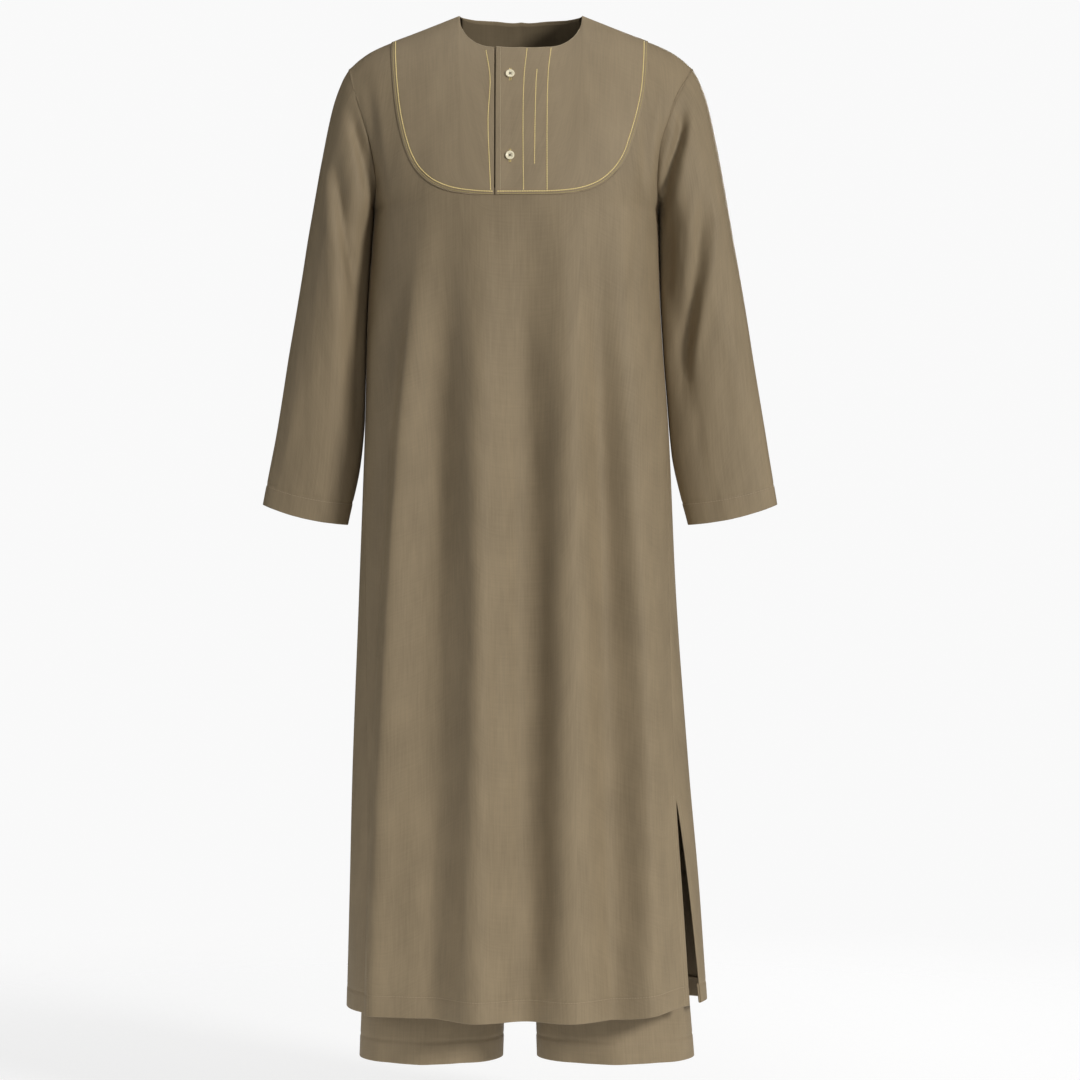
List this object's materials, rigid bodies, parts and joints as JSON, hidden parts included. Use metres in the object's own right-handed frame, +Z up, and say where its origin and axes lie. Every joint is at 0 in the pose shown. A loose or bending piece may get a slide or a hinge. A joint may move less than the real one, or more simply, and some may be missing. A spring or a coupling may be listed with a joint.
{
  "type": "thobe and trousers set",
  "caption": "Long straight thobe with a stitched chest bib, round faced neck, side slits and straight trousers under it, standing hollow as worn.",
  "frame": {"origin": "midway between the two neck points, level with them, where the wearer's shoulders carry the thobe", "axes": "+Z up along the wearer's height, +X to the wearer's left, -Y to the wearer's front"},
  "size_m": [0.689, 0.3188, 1.3955],
  "materials": {
    "cloth": "fine plain weave, soft satin sheen",
    "bib": "fine plain weave, gold topstitching",
    "lining": "matt plain weave",
    "button": "polished"
  },
  "bodies": {
    "root": {"thobe_front": "cloth", "thobe_back": "cloth", "sleeve_left": "cloth", "sleeve_right": "cloth", "bib_left": "bib", "bib_right": "bib", "placket_underlap": "bib", "neck_facing": "lining", "button_upper": "button", "button_lower": "button", "trouser_front_left": "cloth", "trouser_front_right": "cloth", "trouser_back_left": "cloth", "trouser_back_right": "cloth", "waistband": "cloth"}
  },
  "joints": []
}
